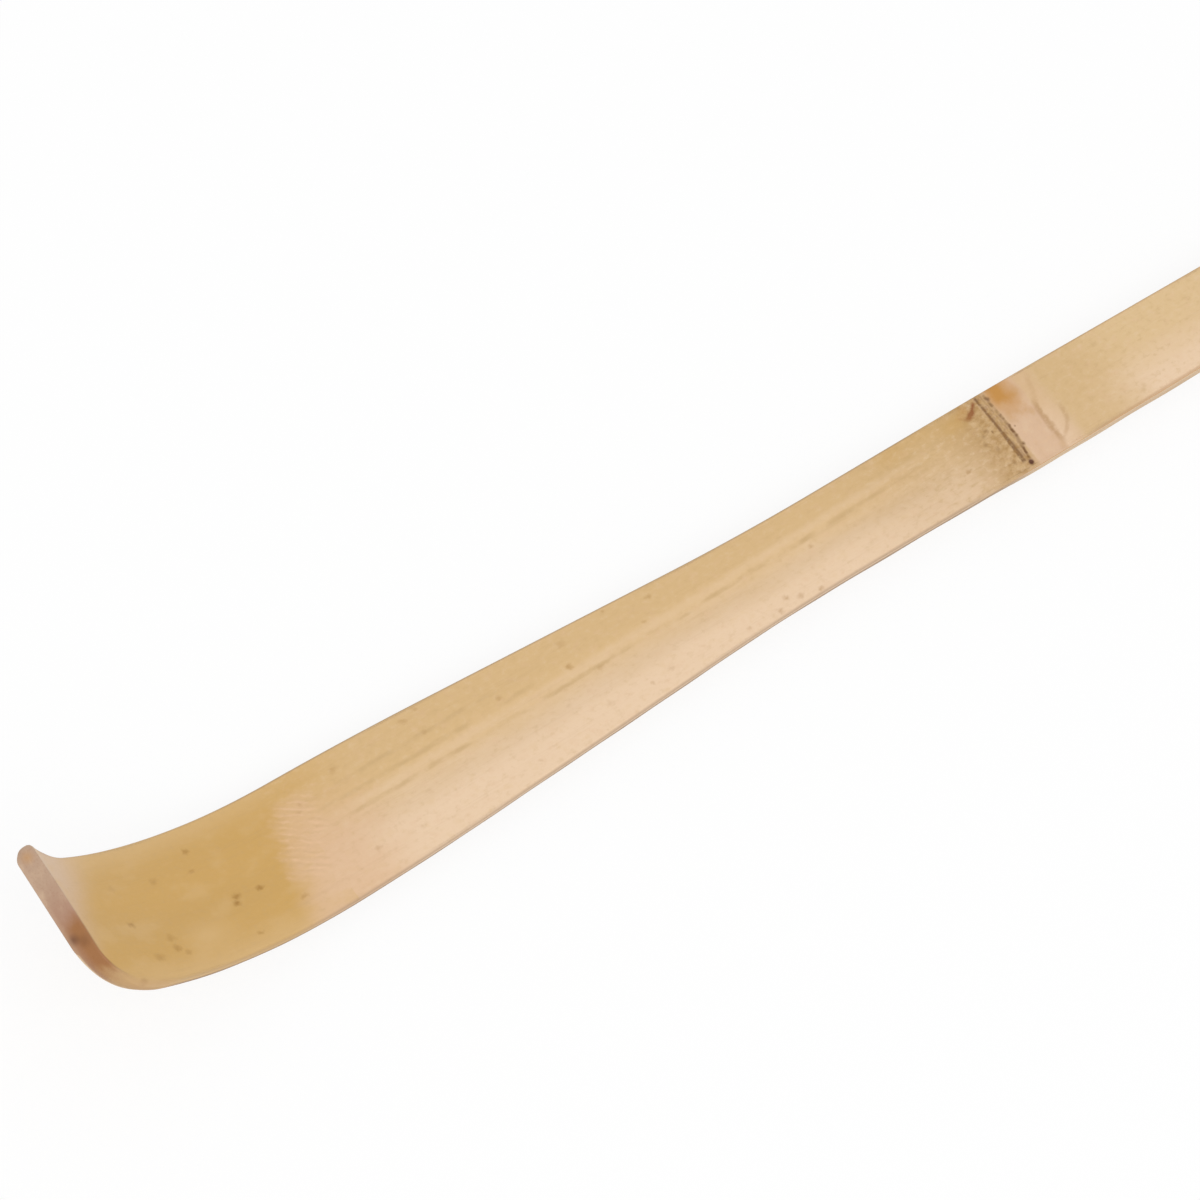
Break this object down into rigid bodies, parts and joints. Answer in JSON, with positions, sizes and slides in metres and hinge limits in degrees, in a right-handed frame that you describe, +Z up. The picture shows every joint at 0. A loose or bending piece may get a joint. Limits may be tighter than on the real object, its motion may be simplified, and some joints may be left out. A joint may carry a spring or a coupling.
{
  "type": "tea scoop",
  "caption": "Slim bamboo tea scoop with an upturned scoop at one end, a grooved stem, a bamboo node at mid-length and a straight handle, used to lift powdered tea.",
  "frame": {"origin": "on the table that the scoop lies on, below the middle of its overall length and on its centre plane", "axes": "+X from the scoop's tip to the cut end of the handle, +Y across the strip, +Z up out of the skin side"},
  "size_m": [0.1796, 0.0118, 0.0136],
  "materials": {
    "bamboo_skin": "satin bamboo skin, pale straw with fine lengthwise fibres",
    "toasted_skin": "satin bamboo skin, toasted golden by the heat of bending",
    "node_tissue": "matt pinkish node tissue with a dark sheath scar",
    "end_grain": "matt cut end grain, grey-brown"
  },
  "bodies": {
    "root": {"tip_edge": "end_grain", "scoop_bowl": "toasted_skin", "heat_bend": "toasted_skin", "stem": "bamboo_skin", "sheath_scar": "node_tissue", "node_band": "node_tissue", "node_ridge": "node_tissue", "handle": "bamboo_skin", "end_cut": "end_grain"}
  },
  "joints": []
}
